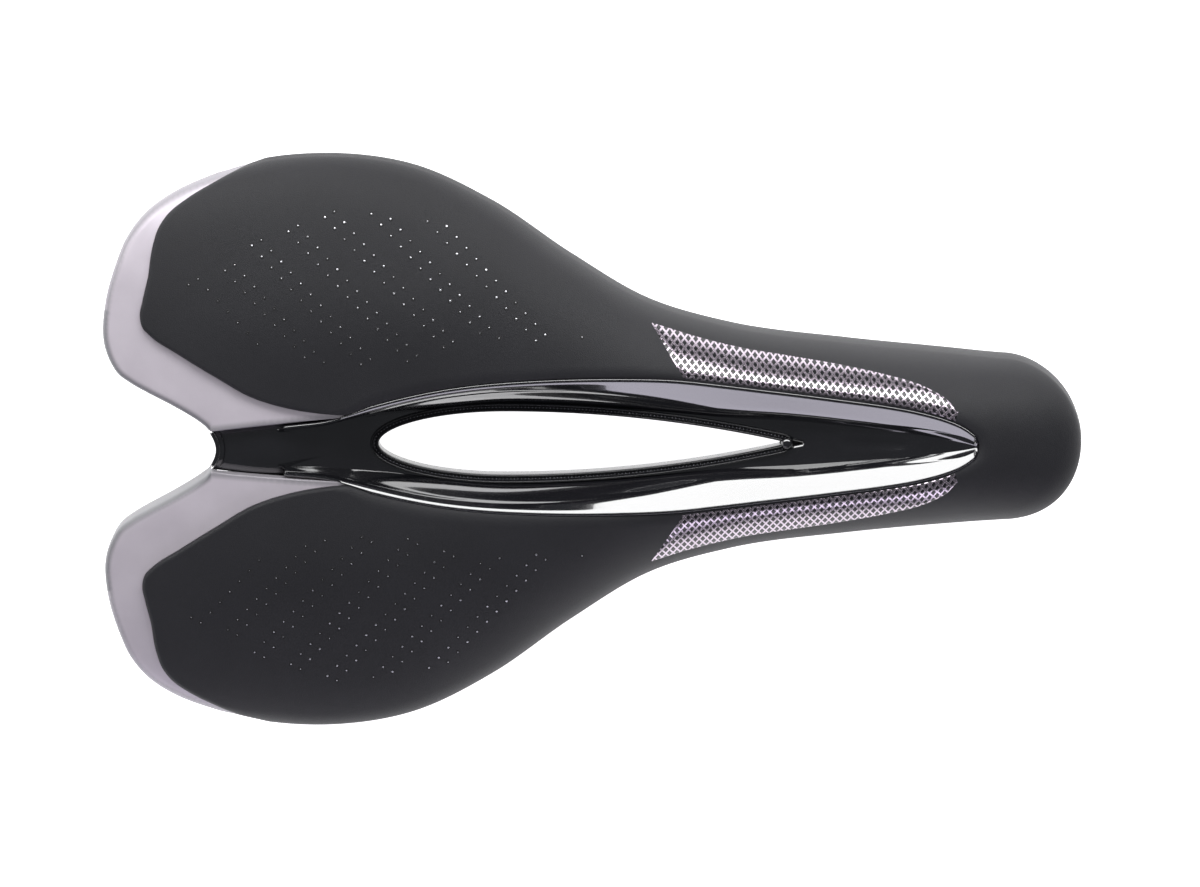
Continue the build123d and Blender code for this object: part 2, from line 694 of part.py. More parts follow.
with BuildPart() as bridge_cover:
    with BuildSketch(Plane.XZ):
        with BuildLine():
            top = [(tail_x + share * saddle_length, height) for share, height in BRIDGE_TOP]
            under = [(x, z - bridge_thickness) for x, z in reversed(top[2:])]
            lip = (notch_x + shell_inset + glue_gap, under[-1][1] + bridge_arch)
            Spline(top)
            Line(top[-1], under[0])
            Spline(under + [lip])
            Polyline(lip, (lip[0], bridge_floor), (top[0][0], bridge_floor), top[0])
        make_face()
    extrude(amount=saddle_width / 2, both=True)
    add(outline_body, mode=Mode.INTERSECT)
    add(bridge_prism(), mode=Mode.INTERSECT)
    add(shell_room, mode=Mode.SUBTRACT)

# ---------------------------------------------------------------- channel liner and rim
recess_x = nose_x - recess_to_tip

with BuildPart() as recess:
    with BuildSketch(Plane.XY.offset(below_all)):
        with Locations((recess_x, 0)):
            SlotOverall(recess_length, recess_width)
    extrude(amount=above_all - below_all)
    add(channel(recess_depth), mode=Mode.INTERSECT)

with BuildPart() as channel_liner:
    add(channel(liner_wall))
    add(crown(0, liner_drop, floor_drop=deep), mode=Mode.INTERSECT)
    add(channel(0), mode=Mode.SUBTRACT)
    add(recess.part, mode=Mode.SUBTRACT)
    add(opening_prism(rim_sleeve + glue_gap, below_all, above_all), mode=Mode.SUBTRACT)
    split(bisect_by=Plane.YZ.offset(tail_x + bridge_end + part_gap), keep=Keep.TOP)

flange_low = rim_floor + glue_gap
flange_high = flange_low + rim_height
sleeve_low = crown_height(0, 0, 0, shell_wall, SHELL_CREST) - part_gap
groove_in = (rim_sleeve + rim_width - rim_groove) / 2

with BuildPart() as cutout_rim:
    add(opening_prism(rim_width, flange_low, flange_high))
    add(opening_prism(rim_sleeve, sleeve_low, flange_low + rim_height / 2))
    groove = (opening_prism(groove_in + rim_groove, flange_high - rim_groove, above_all)
              - opening_prism(groove_in, below_all, above_all))
    add(groove, mode=Mode.SUBTRACT)
    add(opening_prism(0, below_all, above_all), mode=Mode.SUBTRACT)
    knob_place = cutout_rim.part.bounding_box().max.X - rim_knob_to_tip
    with Locations((knob_place, 0, flange_high - rim_height / 2)):
        Cylinder(rim_knob_radius, rim_height / 2 + rim_knob_height,
                 align=(Align.CENTER, Align.CENTER, Align.MIN))

# ---------------------------------------------------------------- labels and files
PIECES = {
    "base_shell": base_shell,
    "rail_frame": rail_frame,
    "rear_rail_bush_left": rear_rail_bush_left,
    "rear_rail_bush_right": rear_rail_bush_right,
    "rear_socket_cap_left": rear_socket_cap_left,
    "rear_socket_cap_right": rear_socket_cap_right,
    "rear_cap_screws": rear_cap_screws,
    "nose_rail_cap": nose_rail_cap,
    "nose_cap_screws": nose_cap_screws,
    "sit_bone_insert_left": sit_bone_insert_left,
    "sit_bone_insert_right": sit_bone_insert_right,
    "foam_pad": foam_pad,
    "cover": cover,
    "grip_panel_left": grip_panel_left,
    "grip_panel_right": grip_panel_right,
    "tail_trim_left": tail_trim_left,
    "tail_trim_right": tail_trim_right,
    "trim_screws": trim_screws,
    "bridge_cover": bridge_cover,
    "channel_liner": channel_liner,
    "cutout_rim": cutout_rim,
}

for name, piece in PIECES.items():
    piece.part.label = name
    export_step(piece.part, f"parts/{name}.step")
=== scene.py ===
from math import radians

import bmesh
import bpy
import numpy as np
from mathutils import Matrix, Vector


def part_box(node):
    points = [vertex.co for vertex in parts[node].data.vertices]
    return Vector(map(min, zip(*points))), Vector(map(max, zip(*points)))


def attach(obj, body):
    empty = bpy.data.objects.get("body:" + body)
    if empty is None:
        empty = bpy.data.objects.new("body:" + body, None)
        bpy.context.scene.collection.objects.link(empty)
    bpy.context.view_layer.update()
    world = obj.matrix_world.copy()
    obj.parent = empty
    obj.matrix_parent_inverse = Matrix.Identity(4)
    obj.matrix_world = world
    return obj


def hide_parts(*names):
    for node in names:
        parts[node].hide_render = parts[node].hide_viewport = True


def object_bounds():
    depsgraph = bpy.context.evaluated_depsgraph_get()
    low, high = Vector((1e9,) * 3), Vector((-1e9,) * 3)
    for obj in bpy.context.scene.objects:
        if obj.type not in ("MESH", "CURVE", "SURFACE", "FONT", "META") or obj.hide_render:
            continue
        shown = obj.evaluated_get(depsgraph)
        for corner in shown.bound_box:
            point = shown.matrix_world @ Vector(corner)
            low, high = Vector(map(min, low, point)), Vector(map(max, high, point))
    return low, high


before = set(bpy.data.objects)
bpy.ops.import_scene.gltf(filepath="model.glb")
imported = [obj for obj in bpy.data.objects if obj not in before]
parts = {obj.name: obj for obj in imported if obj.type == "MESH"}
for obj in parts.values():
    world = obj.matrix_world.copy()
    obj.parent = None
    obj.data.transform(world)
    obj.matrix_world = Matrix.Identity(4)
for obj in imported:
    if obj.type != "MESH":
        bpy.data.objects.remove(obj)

cad_low, cad_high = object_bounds()

# ---------------------------------------------------------------- camera, floor and light
# The saddle is seen almost straight from above, nose to the right, the camera leaning a little
# to the rider's left. Two long soft boxes stand beside the saddle, a low one stands behind it
# and a square one above fills the matte surfaces only, with a dim room around.
camera_reach = 1.80
camera_lean = radians(8)
camera_aim = Vector((0.0115, 0.0012, 0.045))

camera_data = bpy.data.cameras.new("camera")
camera_data.lens = 211.5
camera_data.sensor_width = 36
camera = bpy.data.objects.new("camera", camera_data)
camera.location = camera_aim + camera_reach * Vector((0, np.sin(camera_lean), np.cos(camera_lean)))
camera.rotation_euler = (-camera_lean, 0, 0)
bpy.context.collection.objects.link(camera)
bpy.context.scene.camera = camera
bpy.context.scene.view_settings.view_transform = "Standard"


def soft_box(name, aim, place, length, height, power, tint=(1, 1, 1), shows_in_gloss=True):
    """Oblong area light at a place, turned to face its aim, its long side level."""
    data = bpy.data.lights.new(name, "AREA")
    data.shape = "RECTANGLE"
    data.size = length
    data.size_y = height
    data.energy = power
    data.color = tint
    box = bpy.data.objects.new(name, data)
    box.location = place
    box.rotation_euler = (Vector(place) - Vector(aim)).to_track_quat("Z", "Y").to_euler()
    box.visible_glossy = shows_in_gloss
    bpy.context.collection.objects.link(box)


soft_box("left_box", (0.02, 0, 0.04), (0.02, 0.62, 0.46), 1.7, 0.30, 11)
soft_box("right_box", (0.02, 0, 0.04), (0.02, -0.70, 0.27), 1.7, 0.20, 2.8,
         tint=(0.90, 0.86, 1.0))
soft_box("rear_box", (-0.1, 0, 0.04), (-0.75, 0, 0.20), 0.9, 0.12, 1.2)
soft_box("top_fill", (0, 0, 0), (0.0, 0.1, 1.5), 1.2, 1.2, 10, shows_in_gloss=False)

room = bpy.data.worlds.new("room")
room.use_nodes = True
room.node_tree.nodes["Background"].inputs["Color"].default_value = (0.80, 0.83, 0.90, 1)
room.node_tree.nodes["Background"].inputs["Strength"].default_value = 0.10
bpy.context.scene.world = room

floor_mesh = bpy.data.meshes.new("floor")
floor_half = 3.0
floor_level = cad_low.z - 0.0004
floor_mesh.from_pydata(
    [(-floor_half, -floor_half, floor_level), (floor_half, -floor_half, floor_level),
     (floor_half, floor_half, floor_level), (-floor_half, floor_half, floor_level)],
    [], [(0, 1, 2, 3)])
floor = bpy.data.objects.new("floor", floor_mesh)
bpy.context.collection.objects.link(floor)
floor_paper = bpy.data.materials.new("floor_paper")
floor_paper.use_nodes = True
paper = floor_paper.node_tree.nodes["Principled BSDF"]
paper.inputs["Base Color"].default_value = (0.85, 0.85, 0.86, 1)
paper.inputs["Roughness"].default_value = 0.9
paper.inputs["Emission Color"].default_value = (1, 1, 1, 1)
paper.inputs["Emission Strength"].default_value = 1.0
floor_mesh.materials.append(floor_paper)

# ---------------------------------------------------------------- base shell
# Injection-moulded glass-filled nylon, black, with a fine spark-eroded grain on its underside.
# It carries the rail sockets, the ribs and the bosses, and the padding is bonded over it.


def grain_group():
    """Shader group shared by the finishes: a fine and a broad noise at a given size of grain,
    read from Object coordinates, each as a value from 0 to 1."""
    group = bpy.data.node_groups.new("surface_grain", "ShaderNodeTree")
    group.interface.new_socket("Fine Scale", in_out="INPUT", socket_type="NodeSocketFloat")
    group.interface.new_socket("Broad Scale", in_out="INPUT", socket_type="NodeSocketFloat")
    group.interface.new_socket("Fine", in_out="OUTPUT", socket_type="NodeSocketFloat")
    group.interface.new_socket("Broad", in_out="OUTPUT", socket_type="NodeSocketFloat")
    entry = group.nodes.new("NodeGroupInput")
    leave = group.nodes.new("NodeGroupOutput")
    place = group.nodes.new("ShaderNodeTexCoord")
    for scale, name, detail in (("Fine Scale", "Fine", 4), ("Broad Scale", "Broad", 3)):
        noise = group.nodes.new("ShaderNodeTexNoise")
        noise.inputs["Detail"].default_value = detail
        group.links.new(place.outputs["Object"], noise.inputs["Vector"])
        group.links.new(entry.outputs[scale], noise.inputs["Scale"])
        group.links.new(noise.outputs["Fac"], leave.inputs[name])
    return group


surface_grain = grain_group()


def finish(name, dark, light, roughness, rough_spread=0.08, fine=2500, broad=60, bump=0.2,
           metallic=0.0, coat=0.0, coat_roughness=0.05, sheen=0.0, specular=0.5):
    """Material whose colour drifts between two tones with the broad noise, and whose roughness
    and bump follow the fine noise. Returns the material, its shader, tone node and bump node."""
    material = bpy.data.materials.new(name)
    material.use_nodes = True
    nodes, links = material.node_tree.nodes, material.node_tree.links
    shader = nodes["Principled BSDF"]
    shader.inputs["Metallic"].default_value = metallic
    shader.inputs["Coat Weight"].default_value = coat
    shader.inputs["Coat Roughness"].default_value = coat_roughness
    shader.inputs["Sheen Weight"].default_value = sheen
    shader.inputs["Specular IOR Level"].default_value = specular
    grain = nodes.new("ShaderNodeGroup")
    grain.node_tree = surface_grain
    grain.inputs["Fine Scale"].default_value = fine
    grain.inputs["Broad Scale"].default_value = broad
    tone = nodes.new("ShaderNodeMix")
    tone.data_type = "RGBA"
    tone.inputs["A"].default_value = (*dark, 1)
    tone.inputs["B"].default_value = (*light, 1)
    links.new(grain.outputs["Broad"], tone.inputs["Factor"])
    links.new(tone.outputs["Result"], shader.inputs["Base Color"])
    rough = nodes.new("ShaderNodeMapRange")
    rough.inputs["To Min"].default_value = roughness - rough_spread
    rough.inputs["To Max"].default_value = roughness + rough_spread
    links.new(grain.outputs["Fine"], rough.inputs["Value"])
    links.new(rough.outputs["Result"], shader.inputs["Roughness"])
    relief = nodes.new("ShaderNodeBump")
    relief.inputs["Strength"].default_value = bump
    relief.inputs["Distance"].default_value = 0.0001
    links.new(grain.outputs["Fine"], relief.inputs["Height"])
    links.new(relief.outputs["Normal"], shader.inputs["Normal"])
    return material, shader, tone, relief


def dress(node, material):
    """Gives a carried-over part its finish, in every one of its material slots."""
    piece = parts[node]
    if not piece.material_slots:
        piece.data.materials.append(material)
    for place in piece.material_slots:
        place.material = material


shell_nylon = finish("shell_nylon", (0.010, 0.010, 0.011), (0.022, 0.022, 0.024), 0.52,
                     fine=3000, bump=0.45)[0]
dress("base_shell", shell_nylon)

# ---------------------------------------------------------------- rails
# One length of 7 mm chromium-molybdenum steel rod, bent cold into both rails and the nose loop,
# then satin black chromed. Its drawn surface is slightly streaked along the rod.
rail_steel = finish("rail_steel", (0.20, 0.20, 0.21), (0.30, 0.30, 0.31), 0.30,
                    rough_spread=0.12, fine=1800, broad=140, bump=0.12, metallic=1.0)[0]
dress("rail_frame", rail_steel)

# Elastomer ferrules, pressed onto the cut ends of the rod and held in the sockets.
bush_rubber = finish("bush_rubber", (0.030, 0.030, 0.032), (0.050, 0.050, 0.054), 0.85,
                     fine=4000, bump=0.5)[0]
for node in ("rear_rail_bush_left", "rear_rail_bush_right"):
    dress(node, bush_rubber)

# ---------------------------------------------------------------- socket caps and screws
# Moulded nylon caps clamp the rod up into the shell. Each is held by two pan-head screws of
# blackened steel with hexagon sockets; four shorter ones hold the tail trims from below.
cap_nylon = finish("cap_nylon", (0.016, 0.016, 0.018), (0.034, 0.034, 0.037), 0.42,
                   fine=2600, bump=0.3)[0]
for node in ("rear_socket_cap_left", "rear_socket_cap_right", "nose_rail_cap"):
    dress(node, cap_nylon)
screw_steel = finish("screw_steel", (0.30, 0.30, 0.31), (0.48, 0.48, 0.50), 0.26,
                     fine=5000, broad=600, bump=0.1, metallic=1.0)[0]
for node in ("rear_cap_screws", "nose_cap_screws", "trim_screws"):
    dress(node, screw_steel)

# ---------------------------------------------------------------- padding
# Foam moulded over the shell and covered with a matte charcoal microfibre skin, bonded on and
# turned under the edge. Two wings with soft crowns join in the nose, round an open channel.
mm = 0.001
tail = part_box("tail_trim_left")[0].x / mm
half_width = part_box("cover")[1].y / mm
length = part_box("cover")[1].x / mm - tail
crown_power = 2.4
edge_margin = 1.6
shell_inset = 4.4
glue_line = 0.15

# Station from the tail, half width, then heights: crest of the pad, springing line at the edge,
# crest of the shell under the foam.
sections = np.array([
    (-0.024, 0.870, 53.6, 40.0, 48.0), (0.080, 0.930, 53.8, 36.4, 47.6),
    (0.160, 0.976, 52.4, 32.8, 43.2), (0.230, 1.000, 50.5, 30.0, 35.6),
    (0.320, 0.953, 48.2, 26.8, 33.0), (0.394, 0.830, 47.0, 24.0, 33.0),
    (0.476, 0.639, 46.3, 21.0, 33.0), (0.556, 0.477, 46.0, 18.6, 33.0),
    (0.640, 0.392, 46.0, 17.0, 32.8), (0.760, 0.335, 45.8, 16.4, 32.4),
    (0.884, 0.297, 44.8, 17.2, 31.4), (0.960, 0.285, 42.4, 19.6, 29.8),
    (1.024, 0.265, 37.5, 24.0, 28.6)])
sections[:, 0] *= length
sections[:, 1] *= half_width

# Outline in plan from the bottom of the tail notch to the nose: station, half width.
outline_table = np.array([
    (0.119, 0.000), (0.116, 0.040), (0.106, 0.076), (0.045, 0.202), (0.014, 0.273),
    (0.000, 0.420), (0.014, 0.651), (0.045, 0.820), (0.110, 0.938), (0.230, 1.000),
    (0.312, 0.960), (0.394, 0.830), (0.476, 0.639), (0.557, 0.476), (0.639, 0.392),
    (0.762, 0.335), (0.860, 0.303), (0.920, 0.285)]) * (length, half_width)

# Edge of the channel where skin meets gloss: station, half width.
lip_table = np.array([
    (44, 6.3), (50, 6.9), (56, 7.5), (61, 8.7), (66, 10.0), (75, 12.3), (85.6, 14.4), (96, 15.7),
    (106, 16.4), (116, 16.8), (130, 16.9), (147, 16.3), (157, 15.2), (167, 14.0), (178, 12.7),
    (189, 11.3), (198, 10.1), (208.5, 8.2), (216, 6.0), (220.5, 3.9), (222.6, 2.1)])
channel_tip = 223.4


def through(places, values, at):
    """Smooth line through a table: a cubic between each two entries, whose slope at an entry is
    that of its neighbours."""
    slopes = np.gradient(values, places)
    k = np.clip(np.searchsorted(places, at) - 1, 0, len(places) - 2)
    run = places[k + 1] - places[k]
    t = np.clip((at - places[k]) / run, 0, 1)
    return ((1 + 2 * t) * (1 - t) ** 2 * values[k] + t * (1 - t) ** 2 * run * slopes[k]
            + t * t * (3 - 2 * t) * values[k + 1] - t * t * (1 - t) * run * slopes[k + 1])


def curve(points, at):
    """Smooth plan curve through points, at shares of its length measured along the chords."""
    steps = np.hypot(*np.diff(points, axis=0).T)
    places = np.concatenate([[0], np.cumsum(steps)])
    at = np.asarray(at) * places[-1]
    return np.stack([through(places, points[:, k], at) for k in (0, 1)], axis=-1)


def section(column, station):
    """One column of the section table at a station."""
    return through(sections[:, 0], sections[:, column], station)


def eased(places, values, at, window=9.0):
    """The same smooth line after a moving average over a window, so that its bends show no kink
    in a gloss surface; past its ends the table runs on straight."""
    fine = np.arange(places[0] - window, places[-1] + window, 0.25)
    line = through(places, values, fine)
    start, end = fine < places[0], fine > places[-1]
    line[start] = values[0] + (fine[start] - places[0]) * (
        (values[1] - values[0]) / (places[1] - places[0]))
    line[end] = values[-1] + (fine[end] - places[-1]) * (
        (values[-1] - values[-2]) / (places[-1] - places[-2]))
    kernel = np.hanning(int(window / 0.25) + 2)
    line = np.convolve(np.pad(line, len(kernel), mode="edge"), kernel / kernel.sum(), "same")
    return np.interp(at, fine, line[len(kernel):-len(kernel)])


def arch(station, y, inset=0.0, column=2):
    """Height of an arched surface: edge + rise x (1 - (|y| / reach) to the power 2.4) ** 0.5."""
    reach = section(1, station) + edge_margin - inset
    edge = section(3, station)
    rise = section(column, station) - edge
    return edge + rise * np.sqrt(np.clip(1 - (np.abs(y) / reach) ** crown_power, 0, 1))


def wing_swell(station, y):
    """Soft crown of each wing under the sit bones, a bell in both directions."""
    return 1.5 * np.exp(-((np.abs(y) - 31) / 17) ** 2) * np.exp(-((station - 62) / 44) ** 2)


def lip_half(station):
    """Half width of the channel at its edge: the table, closed by a round front end."""
    front = lip_table[-1, 1] * np.sqrt(np.clip(
        (channel_tip - station) / (channel_tip - lip_table[-1, 0]), 0, 1))
    return np.where(station > lip_table[-1, 0], front,
                    eased(lip_table[:, 0], lip_table[:, 1], station))


def spread(points, count):
    """Points respaced evenly along a dense line."""
    steps = np.hypot(*np.diff(points, axis=0).T)
    places = np.concatenate([[0], np.cumsum(steps)])
    at = np.linspace(0, places[-1], count)
    return np.stack([np.interp(at, places, points[:, k]) for k in (0, 1)], axis=-1)


def mesh_piece(name, points, faces, material, smooth=True):
    """New piece from points in millimetres (station, y, height) and faces; its doubles are
    merged and its faces made to point outwards."""
    mesh = bpy.data.meshes.new(name)
    moved = (np.asarray(points, float) + (tail, 0, 0)) * mm
    mesh.from_pydata(moved.tolist(), [], np.asarray(faces).tolist())
    work = bmesh.new()
    work.from_mesh(mesh)
    bmesh.ops.remove_doubles(work, verts=work.verts, dist=0.000004)
    bmesh.ops.recalc_face_normals(work, faces=work.faces)
    work.to_mesh(mesh)
    work.free()
    mesh.shade_smooth() if smooth else mesh.shade_flat()
    mesh.materials.append(material)
    piece = bpy.data.objects.new(name, mesh)
    bpy.context.collection.objects.link(piece)
    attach(piece, "root")
    return piece


def grid_faces(rows, columns, close_rows=False, close_columns=False):
    """Quads of a grid of points, row by row, each direction closed on itself if asked."""
    r = np.arange(rows if close_rows else rows - 1)
    c = np.arange(columns if close_columns else columns - 1)
    r, c = np.meshgrid(r, c, indexing="ij")
    r2, c2 = (r + 1) % rows, (c + 1) % columns
    quads = np.stack([r * columns + c, r * columns + c2, r2 * columns + c2, r2 * columns + c], -1)
    return quads.reshape(-1, 4)


nose_turn = np.linspace(0, np.pi / 2, 14)[1:]
nose_back, nose_half = outline_table[-1]
nose_end = np.stack([nose_back + (length - nose_back) * np.sin(nose_turn),
                     nose_half * np.cos(nose_turn)], axis=-1)
outline = curve(np.concatenate([outline_table, nose_end]), np.linspace(0, 1, 3000))

# Half of the pad's edge in plan, from the nose tip along the side to the middle of the tail edge,
# and from the front of the channel along its edge to the same place.
side_start = 41.0
lobe = np.argmin(outline[:, 0])
side = outline[lobe:][outline[lobe:, 0] > side_start][::-1]
tail_side = curve(np.array([side[-1], (34.5, 70.75), (27, 67.1), (21.5, 63.9), (16.6, 60.0),
                            (14.3, 56.6), (13.0, 52.5), (11.8, 44.5)]), np.linspace(0, 1, 300))
outer_edge = np.concatenate([side, tail_side[1:]])
lip_stations = channel_tip - (channel_tip - 62) * np.linspace(0, 1, 2000) ** 2
lip = np.stack([lip_stations, lip_half(lip_stations)], axis=-1)
tail_inner = curve(np.array([lip[-1], (55, 9.55), (47, 11.0), (38, 13.9), (29, 19.1), (19, 25.3),
                             (12.6, 29.5), (10.35, 31.9), (9.75, 35.0), (10.4, 38.5),
                             (11.8, 44.5)]), np.linspace(0, 1, 400))
inner_edge = np.concatenate([lip, tail_inner[1:]])

loop_count = 420
spine_table = np.array([(237.0, 0), (231.0, 8.3), (220, 12.2), (200, 15.5), (175, 18.5),
                        (150, 22.5), (125, 29.5), (100, 37.0), (75, 41.5), (50, 42.5), (33, 43.5),
                        (24, 44.2)])
spine = spread(curve(spine_table, np.linspace(0, 1, 2000)), loop_count)
outer_edge = spread(outer_edge, loop_count)
inner_edge = spread(inner_edge, loop_count)
mirrored = np.array([1, -1])


def all_round(outer, inner):
    """Closed loop round the whole pad from its left half: side, channel, channel, side."""
    return np.concatenate([outer, inner[-2::-1], inner[1:-1] * mirrored,
                           outer[::-1][:-1] * mirrored])


edge_loop = all_round(outer_edge, inner_edge)
spine_loop = all_round(spine, spine)
on_side = np.concatenate([np.ones(loop_count), np.zeros(loop_count * 2 - 3),
                          np.ones(loop_count - 1)])
on_side = on_side * (edge_loop[:, 0] > side_start - 6)


def soften(values, reach):
    """Moving average round a closed loop."""
    window = np.ones(2 * reach + 1) / (2 * reach + 1)
    return np.convolve(np.concatenate([values[-reach:], values, values[:reach]]), window, "valid")


along = np.roll(edge_loop, -2, axis=0) - np.roll(edge_loop, 2, axis=0)
along /= np.hypot(*along.T)[:, None]
inward = np.stack([along[:, 1], -along[:, 0]], axis=-1)
inward *= np.sign(((spine_loop - edge_loop) * inward).sum(axis=1))[:, None]
inward = np.stack([soften(inward[:, 0], 3), soften(inward[:, 1], 3)], axis=-1)
on_side = soften(on_side, 9)
in_channel = soften((1 - on_side) * (edge_loop[:, 0] > 64), 9)
near_nose = on_side * np.clip((edge_loop[:, 0] - 225) / 25, 0, 1) ** 2
roll_run = 1.1 + 2.9 * in_channel + 2.4 * on_side + 3.0 * near_nose
roll_drop = 1.1 + 0.9 * in_channel + 0.9 * on_side + 1.6 * near_nose


def pad_top(station, y):
    """Height of the upholstery away from its edges."""
    return arch(station, y) + wing_swell(station, y)


rows = []
roll_line = edge_loop + inward * roll_run[:, None]
for share in 1 - (1 - np.linspace(0, 1, 26)) ** 1.35:
    flat = spine_loop + (roll_line - spine_loop) * share
    rows.append((flat, pad_top(*flat.T)))
for turn in np.linspace(0, np.pi / 2, 11)[1:]:
    flat = edge_loop + inward * (roll_run * (1 - np.sin(turn)))[:, None]
    rows.append((flat, pad_top(*flat.T) - roll_drop * (1 - np.cos(turn))))
skirt = 3.3
side_foot = section(3, edge_loop[:, 0]) - skirt
wall_top = rows[-1][1]
foot = on_side * side_foot + (1 - on_side) * (wall_top - 4.0)
foot = np.minimum(foot, wall_top - 1.5)
for share in (0.25, 0.6, 0.9):
    bulge = 0.5 * on_side * np.sin(np.pi * share)
    rows.append((edge_loop - inward * bulge[:, None], wall_top + (foot + 0.6 - wall_top) * share))
hem = 1.0 + 4.0 * on_side
for depth, lift in ((0.05, 0.35), (0.25, 0.08), (1.0, 0.0)):
    rows.append((edge_loop + inward * (hem * depth)[:, None], foot + lift))
shell_edge = 0.2 + 4.25 * on_side
tuck = edge_loop + inward * shell_edge[:, None]
rows.append((edge_loop + inward * hem[:, None], foot + 1.25))
rows.append((tuck, foot + 1.25))
shell_top = arch(*tuck.T, inset=shell_inset, column=4) + glue_line
rows.append((tuck, on_side * np.maximum(shell_top, foot + 1.3) + (1 - on_side) * (foot + 1.3)))
for share in (0.08, 0.2, 0.4, 0.7, 1.0):
    flat = tuck + (spine_loop - tuck) * share
    low = arch(*flat.T, inset=shell_inset, column=4) + glue_line
    above = np.minimum(1, share * 5)
    rows.append((flat, above * low + (1 - above) * np.maximum(low, rows[-1][1])))
pad_points = np.concatenate([np.column_stack([flat, high]) for flat, high in rows])

microfibre, skin_shader = finish(
    "microfibre", (0.0095, 0.0095, 0.0115), (0.015, 0.015, 0.018), 0.62, rough_spread=0.10,
    fine=3800, broad=45, bump=0.55, sheen=0.03, specular=0.36)[:2]
skin_shader.inputs["Sheen Roughness"].default_value = 0.45
upholstery = mesh_piece("upholstery", pad_points,
                        grid_faces(len(rows), len(edge_loop), close_columns=True), microfibre)
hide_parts("cover", "foam_pad", "sit_bone_insert_left", "sit_bone_insert_right")

# ---------------------------------------------------------------- perforations
# Vent holes punched through the skin over each wing in pairs of slanting rows. The skin itself is
# left whole: each hole is a low dark dish laid on it, painted shade for the hole's inside, with a
# dot of bright backing film at the bottom.
hole_field = np.array([
    (22.2, 42.8), (35.6, 28.2), (63.5, 21), (75.6, 22.3), (88.4, 25.6), (99.4, 27.2),
    (110.9, 27.4), (123.5, 26.9), (93, 56.6), (77.4, 60.7), (65.6, 61.2), (53.8, 60.4),
    (44.8, 56.9), (35.9, 51.7), (29.7, 48.2)])
hole_pitch = 3.72
hole_pair = 2.7
hole_rows_pitch = 9.1
hole_slant = radians(47.5)
hole_stagger = 0.155
first_hole = 22.2, 42.8
cup_radius = 0.52
film_radius = 0.28


def inside(polygon, points):
    """Which points lie in a polygon: an odd number of its sides is crossed on the way out."""
    a, b = polygon, np.roll(polygon, -1, axis=0)
    x, y = points[:, :1], points[:, 1:]
    spans = (a[:, 1] > y) != (b[:, 1] > y)
    rise = np.where(b[:, 1] == a[:, 1], 1e-9, b[:, 1] - a[:, 1])
    crossing = a[:, 0] + (y - a[:, 1]) * (b[:, 0] - a[:, 0]) / rise
    return (spans & (x < crossing)).sum(axis=1) % 2 == 1


row_step, hole_step = np.meshgrid(np.arange(-9, 16), np.arange(-30, 31), indexing="ij")
row_step, hole_step = row_step.ravel(), hole_step.ravel()
across = (row_step // 2) * hole_rows_pitch + (row_step % 2) * hole_pair
down = hole_step * hole_pitch + (row_step % 2) * hole_stagger * hole_pitch
holes = np.stack(
    [first_hole[0] + down * np.cos(hole_slant) + across * np.sin(hole_slant),
     first_hole[1] - down * np.sin(hole_slant) + across * np.cos(hole_slant)], axis=-1)
holes = holes[inside(hole_field, holes)]
holes = np.concatenate([holes, holes * mirrored])


def on_surface(centres, radius, lift, sides):
    """Rings laid on the upholstery round each centre: radius and lift above the skin."""
    angle = np.linspace(0, 2 * np.pi, sides, endpoint=False)
    radius = np.broadcast_to(radius, len(centres))[:, None, None]
    flat = centres[:, None, :] + radius * np.stack([np.cos(angle), np.sin(angle)], -1)[None]
    high = pad_top(flat[..., 0], flat[..., 1]) + lift
    return np.concatenate([flat, high[..., None]], axis=-1)


def dishes(name, rings, sides, material):
    """One low shape per hole from rings (radius, lift), closed by a face across its innermost
    ring.
    """
    layers = [on_surface(holes, radius, lift, sides) for radius, lift in rings]
    points = np.stack(layers, axis=1)
    per_hole = len(rings) * sides
    one = grid_faces(len(rings), sides, close_columns=True)
    centre_ring = np.arange((len(rings) - 1) * sides, per_hole)
    faces = np.concatenate([one + k * per_hole for k in range(len(holes))]).tolist()
    faces += [list(centre_ring + k * per_hole) for k in range(len(holes))]
    mesh = bpy.data.meshes.new(name)
    mesh.from_pydata(((points.reshape(-1, 3) + (tail, 0, 0)) * mm).tolist(), [], faces)
    mesh.shade_smooth()
    mesh.materials.append(material)
    piece = bpy.data.objects.new(name, mesh)
    bpy.context.collection.objects.link(piece)
    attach(piece, "root")
    return piece


# Painted shade: the dish is darker than the skin, standing in for the shade inside each hole.
painted_hole_shade = finish("painted_hole_shade", (0.004, 0.004, 0.005), (0.008, 0.008, 0.009), 0.7, bump=0.1)[0]
hole_film = finish("hole_film", (0.30, 0.30, 0.32), (0.75, 0.75, 0.80), 0.30, broad=900,
                   bump=0.3, metallic=0.9)[0]
cups = dishes("perforation_cups",
              [(cup_radius + 0.12, -0.03), (cup_radius, 0.05), (cup_radius - 0.14, 0.02)],
              10, painted_hole_shade)
# Each bright film dot's size varies at random and also shrinks towards the tail and towards the
# channel, which is a painted fall-off of the glints.
film_size_and_painted_glint = np.random.default_rng(7).uniform(0.45, 1.0, len(holes))
film_size_and_painted_glint *= np.clip(0.55 + (holes[:, 0] - 40) / 90 + (np.abs(holes[:, 1]) - 36) / 50, 0.35, 1)
films = dishes("perforation_films", [(film_radius * film_size_and_painted_glint, 0.03),
                                     (film_radius * film_size_and_painted_glint * 0.6, 0.07)], 8, hole_film)

